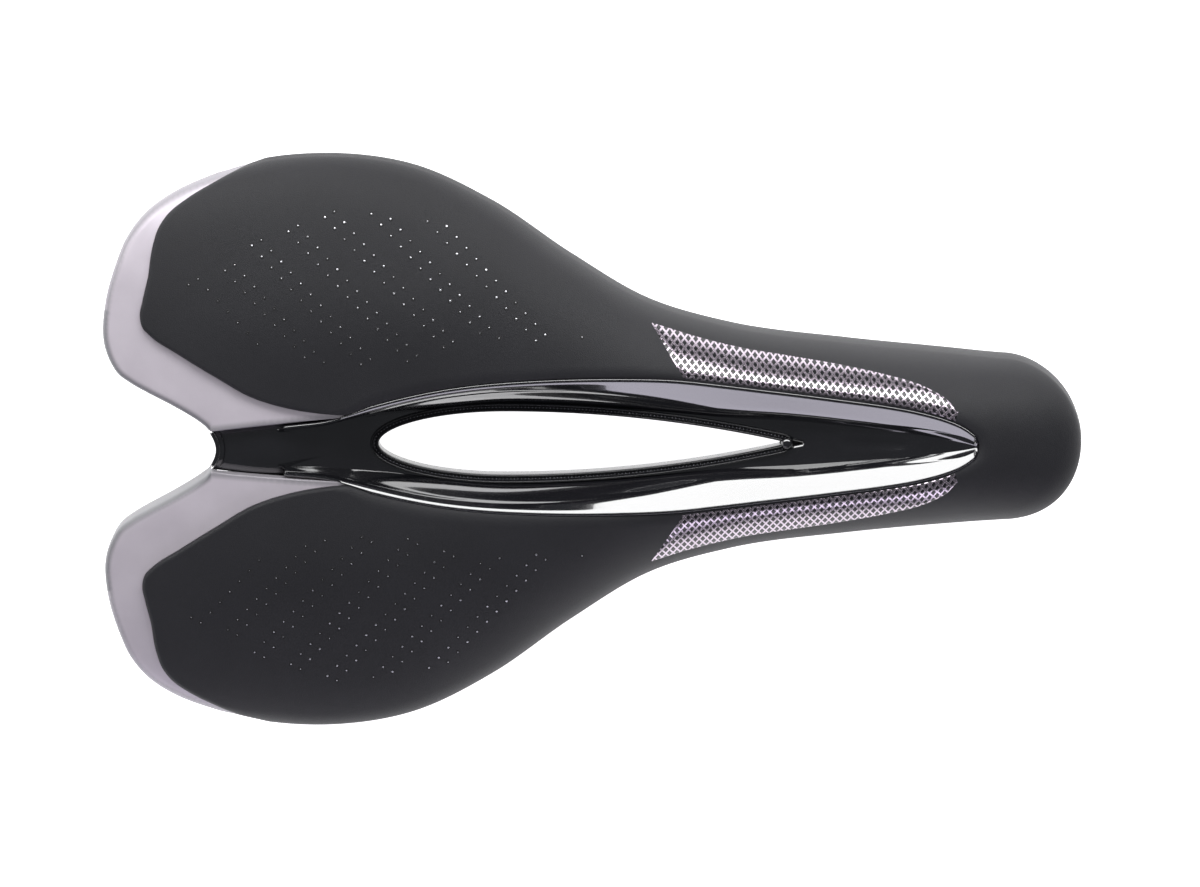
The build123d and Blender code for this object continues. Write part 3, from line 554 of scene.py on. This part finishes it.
# ---------------------------------------------------------------- channel liner
# Thermoformed gloss black shell pressed into the channel: a flat floor, a steep wall, then a
# shallow shoulder up to the skin, which widens towards the nose. A slot is pressed in its floor.
opening_middle, opening_half = 102.2, 8.07
opening_rear_run, opening_front_run = 32.5, 72.6
liner_start, opening_rear, opening_tip = 46, 66.7, 177.5
lip_sink = 1.85
front_radius = (opening_front_run ** 2 + opening_half ** 2) / (2 * opening_half)
floor_table = np.array([
    (44, 5.4, 46.0), (48, 5.7, 45.0), (54, 6.3, 42.0), (60, 7.0, 38.3), (63, 7.3, 36.4),
    (67, 7.7, 35.0), (72, 8.2, 34.6),
    (84, 9.5, 34.6), (100, 10.8, 34.6), (116, 10.5, 34.6), (131, 9.6, 34.6), (146, 8.2, 34.6),
    (160, 7.0, 34.6), (176.2, 6.3, 34.7), (192, 4.9, 36.5), (208, 3.1, 38.9), (216, 1.8, 40.4),
    (223.4, 0.3, 42.2)])
shoulder_table = np.array([
    (44, 0.5), (66, 0.6), (90, 0.8), (106, 1.1), (120, 1.9), (137, 3.6), (150, 5.1), (163, 6.0),
    (175, 6.1), (185, 5.4), (198, 4.2), (208, 3.2), (217, 1.9), (221, 0.9), (223.4, 0.2)])
slope_table = np.array([(44, 64), (96, 60), (114, 46), (132, 34), (148, 31), (223.4, 31)])


def opening_edge(station, grow):
    """Half width of the opening grown evenly: an ellipse behind its widest place, arcs ahead."""
    run = station - opening_middle
    behind = (opening_half + grow) * np.sqrt(np.clip(1 - (run / (opening_rear_run + grow)) ** 2,
                                                     0, 1))
    drop = front_radius - opening_half
    ahead = np.sqrt(np.clip((front_radius + grow) ** 2 - run ** 2, 0, None)) - drop
    return np.where(run < 0, behind, np.clip(ahead, 0, None))


def bend_basis(count, samples):
    """Weights of a clamped cubic B-spline: samples along it from a number of control rows."""
    degree = 3
    knots = np.concatenate([np.zeros(degree), np.linspace(0, 1, count - degree + 1),
                            np.ones(degree)])
    at = np.clip(np.linspace(0, 1, samples), 0, 1 - 1e-9)[:, None]
    basis = ((knots[:-1] <= at) & (at < knots[1:])).astype(float)
    for order in range(1, degree + 1):
        left, right = knots[:-order - 1], knots[order + 1:]
        low_span = np.where(knots[order:-1] > left, knots[order:-1] - left, 1)
        high_span = np.where(right > knots[1:-order], right - knots[1:-order], 1)
        basis = ((at - left) / low_span * basis[:, :-1]
                 + (right - at) / high_span * basis[:, 1:])
    return basis


def bend_rows(rows, samples):
    """Surface through a stack of control rows, rounded by a cubic B-spline across them."""
    return np.einsum("sk,kpd->spd", bend_basis(len(rows), samples), np.stack(rows))


near = 1 - np.cos(np.linspace(0, np.pi / 2, 60))
liner_s = np.unique(np.concatenate([
    np.linspace(liner_start, opening_rear, 60)[:-1], opening_rear + 6 * near,
    np.linspace(73, 168, 120), opening_tip - 9 * near, np.linspace(opening_tip, 218, 70),
    channel_tip - 5.4 * near]))
liner_s = liner_s[liner_s <= channel_tip - 0.02]
floor_half_at = eased(floor_table[:, 0], floor_table[:, 1], liner_s)
floor_at = eased(floor_table[:, 0], floor_table[:, 2], liner_s)
shoulder = eased(shoulder_table[:, 0], shoulder_table[:, 1], liner_s)
shoulder_slope = np.tan(np.radians(eased(slope_table[:, 0], slope_table[:, 1], liner_s)))
lip_at = lip_half(liner_s)
under_skin = np.clip((liner_s - 60) / 8, 0, 1)
inner = np.minimum(opening_edge(liner_s, 1.0), floor_half_at * 0.95)
floor_half_at = np.maximum(floor_half_at, inner)
floor_half_at = np.minimum(floor_half_at, lip_at * 0.8)
lip_height = pad_top(liner_s, lip_at) - lip_sink
knee = np.maximum(lip_at - shoulder, floor_half_at + 0.3 * (lip_at - floor_half_at))
knee_height = np.maximum(lip_height - (lip_at - knee) * shoulder_slope, floor_at)


def liner_row(y, z):
    """Control row of the liner: half widths and heights along its stations."""
    return np.column_stack([liner_s, y, z])


foot_of_wall = floor_half_at + 0.12 * (knee - floor_half_at)
liner_rows = [
    liner_row(inner, floor_at), liner_row(inner + 0.5 * (floor_half_at - inner), floor_at),
    liner_row(floor_half_at - 0.3 * (floor_half_at - inner), floor_at),
    liner_row(floor_half_at, floor_at),
    liner_row(foot_of_wall, floor_at + 0.10 * (knee_height - floor_at)),
    liner_row(floor_half_at + 0.45 * (knee - floor_half_at),
              floor_at + 0.55 * (knee_height - floor_at)),
    liner_row(knee - 0.08 * (knee - floor_half_at), knee_height - 0.15 * (knee_height - floor_at)),
    liner_row(knee, knee_height),
    liner_row(knee + 0.33 * (lip_at - knee), knee_height + 0.33 * (lip_height - knee_height)),
    liner_row(knee + 0.80 * (lip_at - knee), knee_height + 0.80 * (lip_height - knee_height)),
    liner_row(lip_at, lip_height),
    liner_row(lip_at + 0.5 * under_skin, lip_height + 0.3 * under_skin),
    liner_row(lip_at + 0.9 * under_skin, lip_height + 0.45 * under_skin)]
liner_grid = bend_rows(liner_rows, 56)
slot_middle, slot_half_length, slot_half = 197.0, 8.3, 1.25
slot_depth, slot_blend = 0.55, 0.12
from_slot = np.hypot(np.clip(np.abs(liner_grid[..., 0] - slot_middle)
                             - (slot_half_length - slot_half), 0, None), liner_grid[..., 1])
liner_grid[..., 2] -= slot_depth / (
    1 + np.exp(np.clip((from_slot - slot_half) / slot_blend, -40, 40)))

gloss_black, gloss_shader = finish(
    "gloss_black", (0.004, 0.004, 0.005), (0.009, 0.009, 0.011), 0.14, rough_spread=0.03,
    fine=900, broad=90, bump=0.05, coat=1.0, coat_roughness=0.04, specular=0.9)[:2]
gloss_shader.inputs["Coat IOR"].default_value = 1.75


def both_sides(grid):
    """A left-hand grid and its mirror image, as points and faces."""
    left = grid.reshape(-1, 3)
    faces = grid_faces(*grid.shape[:2])
    return (np.concatenate([left, left * (1, -1, 1)]),
            np.concatenate([faces, faces[:, ::-1] + len(left)]))


liner = mesh_piece("channel_lining", *both_sides(liner_grid), gloss_black)
wall = liner.modifiers.new("wall", "SOLIDIFY")
wall.thickness = 0.9 * mm
wall.offset = -1
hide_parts("channel_liner")

# ---------------------------------------------------------------- opening rim
# Moulded gasket clipped round the opening: a sleeve through the shell and a flange with two thin
# raised lips. A row of fine sparkling beads lies between them, and a knob closes the front tip.
turn = np.linspace(0, np.pi / 2, 400)
rim_grow, tip_half = 1.15, 1.15
rim_count, profile_count = 480, 60
ahead_s = np.linspace(opening_middle, 180, 1200)[1:]
half_loop = np.concatenate([
    np.stack([opening_middle - (opening_rear_run + rim_grow) * np.cos(turn),
              (opening_half + rim_grow) * np.sin(turn)], axis=-1),
    np.stack([ahead_s, opening_edge(ahead_s, rim_grow)], axis=-1)])
half_loop = half_loop[(half_loop[:, 0] < opening_middle) | (half_loop[:, 1] > tip_half)]
whole = np.concatenate([half_loop, half_loop[::-1][1:] * mirrored])
rim_path = spread(whole, rim_count + 1)[:-1]
rim_path = np.stack([soften(rim_path[:, k], 2) for k in (0, 1)], axis=-1)
rim_path = np.stack([soften(rim_path[:, k], 2) for k in (0, 1)], axis=-1)
rim_along = np.roll(rim_path, -1, axis=0) - np.roll(rim_path, 1, axis=0)
rim_along /= np.hypot(*rim_along.T)[:, None]
rim_out = np.stack([-rim_along[:, 1], rim_along[:, 0]], axis=-1)
rim_out *= np.sign(((rim_path - (opening_middle, 0)) * rim_out).sum(axis=1).mean())
rim_profile = np.array([
    (-1.10, 30.0), (-1.12, 33.0), (-1.12, 35.2), (-1.05, 36.0), (-0.75, 36.35), (-0.45, 36.2),
    (-0.30, 35.75), (-0.05, 35.55), (0.25, 35.55), (0.45, 35.85), (0.60, 36.35), (0.90, 36.45),
    (1.15, 36.1), (1.22, 35.4), (1.22, 34.75), (0.6, 34.62), (-0.25, 34.62), (-0.3, 33.5),
    (-0.3, 30.0), (-0.7, 29.9)])
closed_profile = np.concatenate([rim_profile, rim_profile[:1]])
profile_grow = bend_basis(len(closed_profile), profile_count) @ closed_profile
rim_flat = rim_path[None] + rim_out[None] * profile_grow[:, :1, None]
rim_high = np.broadcast_to(profile_grow[:, 1:, None], (profile_count, rim_count, 1))
rim_grid = np.concatenate([rim_flat, rim_high], axis=-1)
rim_black = finish("rim_black", (0.006, 0.006, 0.007), (0.013, 0.013, 0.015), 0.24,
                   fine=1800, broad=300, bump=0.25, coat=0.3)[0]
rim = mesh_piece("opening_rim", rim_grid.reshape(-1, 3),
                 grid_faces(profile_count, rim_count, close_rows=True, close_columns=True),
                 rim_black)
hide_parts("cutout_rim")


def ball(radius, rings, sides):
    """Points and faces of a small ball round the origin, its poles closed."""
    tilt = np.linspace(0, np.pi, rings + 1)[:, None]
    angle = np.linspace(0, 2 * np.pi, sides, endpoint=False)[None]
    points = radius * np.stack([np.sin(tilt) * np.cos(angle), np.sin(tilt) * np.sin(angle),
                                np.cos(tilt) + 0 * angle], axis=-1)
    return points.reshape(-1, 3), grid_faces(rings + 1, sides, close_columns=True)


bead_points, bead_faces = ball(0.26, 4, 6)
bead_height = 35.78
bead_places = rim_path[::2] + rim_out[::2] * 0.08
bead_centres = np.column_stack([bead_places, np.full(len(bead_places), bead_height)])
bead_all = (bead_centres[:, None] + bead_points[None]).reshape(-1, 3)
bead_quads = (np.arange(len(bead_centres))[:, None, None] * len(bead_points)
              + bead_faces[None]).reshape(-1, 4)
bead_lacquer = finish("bead_lacquer", (0.03, 0.03, 0.035), (0.16, 0.16, 0.18), 0.20, broad=1500,
                      bump=0.2, metallic=0.6)[0]
beads = mesh_piece("rim_beads", bead_all, bead_quads, bead_lacquer, smooth=False)

knob_points, knob_faces = ball(1.5, 12, 24)
rim_front = rim_path[:, 0].max()
knob = mesh_piece("rim_knob", knob_points * (1, 1, 0.75) + (rim_front - 0.3, 0, 36.4), knob_faces,
                  gloss_black)

# ---------------------------------------------------------------- bridge plate
# Gloss black moulded plate across the tail notch. It is nearly flat on top, turns down at the
# notch with a chamfer, and dips ahead through the channel's floor behind the opening.
bridge_top = np.array([(26.6, 44.5), (26.7, 46.4), (27.6, 47.5), (29.0, 48.1), (33.0, 48.5),
                       (42.0, 48.0), (48.0, 46.5), (54.0, 43.4), (60.0, 39.4), (63.0, 37.1),
                       (66.0, 33.0)])
bridge_s = np.concatenate([np.linspace(26.6, 29, 16)[:-1], np.linspace(29, 65.8, 70)])
bridge_z = through(bridge_top[:, 0], bridge_top[:, 1], bridge_s)
rear_half, front_half = 5.25, 8.2
bridge_half = rear_half + (front_half - rear_half) * (bridge_s - 27) / (64 - 27)
dish = np.clip((bridge_s - 44) / 14, 0, 1)
notch_s, notch_depth, notch_fade = 26.6, 2.9, 5
notch_bow = notch_depth * np.exp(-(bridge_s - notch_s) / notch_fade)
bridge_rows = [np.column_stack([bridge_s + notch_bow * (1 - 0.85 * share ** 2),
                                bridge_half * share, bridge_z - drop])
               for share, drop in ((0, 0 * dish), (0.12, 0 * dish), (0.3, 0.05 + 0.1 * dish),
                                   (0.5, 0.18 + 0.55 * dish), (0.7, 0.42 + 1.2 * dish),
                                   (0.86, 0.7 + 1.5 * dish), (0.97, 1.0 + 1.5 * dish),
                                   (1.0, 1.6 + 1.4 * dish), (1.0, 2.6 + 1.4 * dish),
                                   (1.0, 4.0 + 1.4 * dish))]
bridge = mesh_piece("bridge_plate", *both_sides(bend_rows(bridge_rows, 40)), gloss_black)
plate = bridge.modifiers.new("plate", "SOLIDIFY")
plate.thickness = 1.2 * mm
plate.offset = -1
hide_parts("bridge_cover")

# ---------------------------------------------------------------- tail trims
# Satin silver-lavender lacquered mouldings that wrap both lobes of the tail, a step below the
# skin. Their outer edges are rolled down over the shell, with painted shade darkening a band along
# them.
outer_way = np.array([
    (48.0, 70.6), (42.5, 71.9), (36, 71.55), (32, 70.5), (27.5, 69.2), (18.5, 65.4), (11.25, 60.5),
    (6.4, 54.6), (3.5, 48), (1.0, 39.5), (0, 31), (0.9, 25.2), (3.5, 20.1), (7.2, 17.2),
    (11.25, 14.9), (17.0, 11.9), (22.2, 8.9), (25.6, 6.6), (27.0, 5.35), (28.2, 5.1), (33, 5.55),
    (40, 6.25), (50, 7.15), (58, 7.9), (62.5, 8.3)])
inner_way = np.array([
    (47.0, 69.8), (41.0, 70.6), (35.5, 70.2), (31.5, 68.7), (27.5, 66.9), (21.5, 63.5),
    (17.0, 60.0), (14.2, 55.4), (13.2, 49.5), (12.2, 41.5), (11.0, 34.5), (12.0, 30.8),
    (15.0, 28.4),
    (18.5, 26.3), (22.5, 23.9), (27.5, 20.8), (31.5, 18.2), (35.0, 16.1), (37.0, 15.0),
    (38.5, 14.2), (41.5, 12.9), (46.0, 11.6), (52.0, 10.4), (58.5, 9.2), (62.9, 8.6)])
trim_at = np.linspace(0, 1, 420)
way_places = np.linspace(0, 1, len(outer_way))
outer_line = np.stack([through(way_places, outer_way[:, k], trim_at) for k in (0, 1)], axis=-1)
inner_line = np.stack([through(way_places, inner_way[:, k], trim_at) for k in (0, 1)], axis=-1)
reach_in = inner_line - outer_line
inner_line = inner_line + 1.2 * reach_in / (np.hypot(*reach_in.T)[:, None] + 0.5)
trim_along = np.gradient(outer_line, axis=0)
trim_along /= np.hypot(*trim_along.T)[:, None]
turning = np.hanning(41) / np.hanning(41).sum()
trim_along = np.stack([np.convolve(np.pad(trim_along[:, k], 20, mode="edge"), turning, "valid")
                       for k in (0, 1)], axis=-1)
trim_along /= np.hypot(*trim_along.T)[:, None]
trim_in = np.stack([trim_along[:, 1], -trim_along[:, 0]], axis=-1)
trim_in *= np.sign((reach_in * trim_in).sum(axis=1).mean())
gap_across = np.hypot(*(inner_line - outer_line).T)
trim_step = 1.5
side_bottom = section(3, outer_line[:, 0]) - 2.0
by_bridge = np.clip((outer_line[:, 0] - 26.5) / 1.5, 0, 1) * (outer_line[:, 1] < 20)
surface = arch(*outer_line.T) - trim_step
edge_top = np.minimum(surface, arch(*inner_line.T) - trim_step + 1.0)
bottom = np.where(by_bridge > 0, by_bridge * (edge_top - 4) + (1 - by_bridge) * side_bottom,
                  side_bottom)
corner = np.exp(-(((outer_line - (27.2, 5.3)) ** 2).sum(axis=1)) / 9)
roll = np.minimum(2.2, gap_across * 0.45) * (1 - 0.75 * by_bridge) * (1 - 0.6 * corner)


def trim_row(inset, height):
    """Control row of a trim: an inset from its outer edge, and heights."""
    flat = outer_line + trim_in * np.asarray(inset).reshape(-1, 1)
    return np.column_stack([flat, height])


def trim_across(share):
    """Control row of a trim on its top, a share of the way from the rolled edge to the skin."""
    start = outer_line + trim_in * roll[:, None]
    flat = start + (inner_line - start) * share
    return np.column_stack([flat, arch(*flat.T) - trim_step])


shoulder_inset = roll * 0.55
shoulder_line = outer_line + trim_in * roll[:, None] * 0.55
trim_rows = [
    trim_row(1.4, bottom), trim_row(0.5, bottom), trim_row(0, bottom + 0.3),
    trim_row(0, bottom + 0.35 * (edge_top - bottom)),
    trim_row(0, bottom + 0.7 * (edge_top - bottom)),
    trim_row(roll * 0.05, edge_top - 1.6), trim_row(roll * 0.25, edge_top - 0.55),
    trim_row(shoulder_inset, arch(*shoulder_line.T) - trim_step - 0.12),
    trim_across(0.0), trim_across(0.12), trim_across(0.3), trim_across(0.5), trim_across(0.7),
    trim_across(0.85), trim_across(1.0)]
trim_grid = bend_rows(trim_rows, 48)

satin_paint, paint_shader, paint_tone = finish(
    "satin_paint", (0.42, 0.385, 0.43), (0.55, 0.51, 0.56), 0.50, rough_spread=0.06, fine=5200,
    broad=90, bump=0.25, metallic=0.35, coat=0.08, coat_roughness=0.25)[:3]
paint_nodes, paint_links = satin_paint.node_tree.nodes, satin_paint.node_tree.links
# Painted shade on the rolled edges: a per-point mask mixes the lacquer's colour towards dark grey.
edge_reader = paint_nodes.new("ShaderNodeAttribute")
edge_reader.attribute_name = "painted_edge_shade"
painted_shade_mix = paint_nodes.new("ShaderNodeMix")
painted_shade_mix.data_type = "RGBA"
painted_shade_mix.inputs["B"].default_value = (0.12, 0.125, 0.13, 1)
paint_links.new(edge_reader.outputs["Fac"], painted_shade_mix.inputs["Factor"])
paint_links.new(paint_tone.outputs["Result"], painted_shade_mix.inputs["A"])
paint_links.new(painted_shade_mix.outputs["Result"], paint_shader.inputs["Base Color"])

for name, turned in (("tail_trim_left", 1), ("tail_trim_right", -1)):
    trim = mesh_piece(name.replace("trim", "moulding"), trim_grid.reshape(-1, 3) * (1, turned, 1),
                      grid_faces(*trim_grid.shape[:2]), satin_paint)
    places = np.zeros(len(trim.data.vertices) * 3, np.float32)
    trim.data.vertices.foreach_get("co", places)
    places = places.reshape(-1, 3) / mm - (tail, 0, 0)
    # Painted shade along the outer edge: full within 0.9 mm of it, gone at 2 mm, stronger beside
    # the notch than at the lobes.
    notch_side = (np.abs(places[:, 1]) < 36) & (places[:, 0] < 27.5)
    to_edge = places[:, None, :2] * (1, turned) - outer_line[None, ::3]
    away = np.sqrt((to_edge ** 2).sum(-1)).min(1)
    painted_shade_amount = np.clip(1 - (away - 0.9) / 1.1, 0, 1) * np.where(notch_side, 0.85, 0.55)
    painted_shade_attribute = trim.data.attributes.new("painted_edge_shade", "FLOAT", "POINT")
    painted_shade_attribute.data.foreach_set("value", painted_shade_amount.astype(np.float32))
    thick = trim.modifiers.new("moulding", "SOLIDIFY")
    thick.thickness = 1.2 * mm
    thick.offset = -1
    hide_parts(name)

# ---------------------------------------------------------------- grip panels
# Thin metallic lavender film bonded on both shoulders of the nose, embossed with a close lattice
# of dark diamonds that keeps the thighs from sliding.
grip_outer = np.array([(138.8, 31.6), (150, 28.0), (162.4, 24.9), (175, 22.8), (186.6, 20.9),
                       (199.5, 18.3), (209.8, 15.3), (215.6, 11.9), (218.3, 8.6)])
grip_inner_start, grip_inner_end, grip_border = 147.6, 217.6, 1.0
grip_lift = 0.22


def skin_height(station, y):
    """Height of the skin beside the channel: the pad's top less the roll at its inner edge."""
    near_edge = np.clip(1 - (np.abs(y) - lip_half(station)) * 0.97 / 4.0, 0, 1)
    return pad_top(station, y) - 2.0 * (1 - np.sqrt(1 - near_edge ** 2))


grip_at = np.linspace(0, 1, 170)
far = curve(grip_outer, grip_at)
close_s = grip_inner_start + (grip_inner_end - grip_inner_start) * grip_at
close = np.stack([close_s, lip_half(close_s) + grip_border], axis=-1)
steps = np.linspace(0, 1, 30)[:, None, None]
grip_flat = close[None] + (far - close)[None] * steps
grip_high = skin_height(grip_flat[..., 0], grip_flat[..., 1]) + grip_lift
rim_fade = np.minimum(np.minimum(steps[..., 0], 1 - steps[..., 0]) * 12,
                      np.minimum(grip_at, 1 - grip_at)[None] * 40)
grip_high = grip_high - (grip_lift + 0.1) * np.clip(1 - rim_fade, 0, 1)
grip_grid = np.concatenate([grip_flat, grip_high[..., None]], axis=-1)

grip_film, film_shader, film_tone, film_relief = finish(
    "grip_film", (0.40, 0.345, 0.40), (0.55, 0.48, 0.55), 0.19, fine=3000, broad=120, bump=0.2,
    metallic=0.9)
film_nodes, film_links = grip_film.node_tree.nodes, grip_film.node_tree.links
lattice_pitch, lattice_rows = 1.9, 2.2
uv_reader = film_nodes.new("ShaderNodeUVMap")
uv_reader.uv_map = "lattice"
split = film_nodes.new("ShaderNodeSeparateXYZ")
film_links.new(uv_reader.outputs["UV"], split.inputs["Vector"])


def sum_node(operation, first, second):
    """Math node on two sources, each a socket or a number."""
    node = film_nodes.new("ShaderNodeMath")
    node.operation = operation
    for socket, source in zip(node.inputs, (first, second)):
        if isinstance(source, (int, float)):
            socket.default_value = source
        else:
            film_links.new(source, socket)
    return node.outputs["Value"]


waves = []
for operation in ("ADD", "SUBTRACT"):
    slant = sum_node(operation, split.outputs["X"], split.outputs["Y"])
    waves.append(sum_node("ABSOLUTE", sum_node("SUBTRACT", sum_node("FRACT", slant, 0), 0.5), 0))
widest_wave = sum_node("MAXIMUM", *waves)
hole = film_nodes.new("ShaderNodeMapRange")
hole.interpolation_type = "SMOOTHSTEP"
hole.inputs["From Min"].default_value = 0.375
hole.inputs["From Max"].default_value = 0.315
film_links.new(widest_wave, hole.inputs["Value"])
pierced = film_nodes.new("ShaderNodeMix")
pierced.data_type = "RGBA"
pierced.inputs["B"].default_value = (0.010, 0.010, 0.012, 1)
film_links.new(hole.outputs["Result"], pierced.inputs["Factor"])
film_links.new(film_tone.outputs["Result"], pierced.inputs["A"])
film_links.new(pierced.outputs["Result"], film_shader.inputs["Base Color"])
film_links.new(sum_node("MULTIPLY", sum_node("SUBTRACT", 1.0, hole.outputs["Result"]), 0.9),
               film_shader.inputs["Metallic"])
emboss = film_nodes.new("ShaderNodeBump")
emboss.inputs["Strength"].default_value = 0.6
emboss.inputs["Distance"].default_value = 0.0002
emboss.invert = True
film_links.new(hole.outputs["Result"], emboss.inputs["Height"])
film_links.new(film_relief.outputs["Normal"], emboss.inputs["Normal"])
film_links.new(emboss.outputs["Normal"], film_shader.inputs["Normal"])

for name, turned in (("grip_panel_left", 1), ("grip_panel_right", -1)):
    panel = mesh_piece(name.replace("panel", "film"), grip_grid.reshape(-1, 3) * (1, turned, 1),
                       grid_faces(*grip_grid.shape[:2]), grip_film)
    lattice = panel.data.uv_layers.new(name="lattice")
    corners = np.zeros(len(panel.data.loops), np.int32)
    panel.data.loops.foreach_get("vertex_index", corners)
    places = np.zeros(len(panel.data.vertices) * 3, np.float32)
    panel.data.vertices.foreach_get("co", places)
    places = places.reshape(-1, 3) / mm - (tail, 0, 0)
    off_lip = np.abs(places[:, 1]) - lip_half(places[:, 0])
    uv = np.column_stack([places[:, 0] / lattice_pitch, off_lip / lattice_rows])[corners]
    lattice.data.foreach_set("uv", uv.astype(np.float32).ravel())
    backing = panel.modifiers.new("film", "SOLIDIFY")
    backing.thickness = 0.15 * mm
    backing.offset = -1
    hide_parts(name)
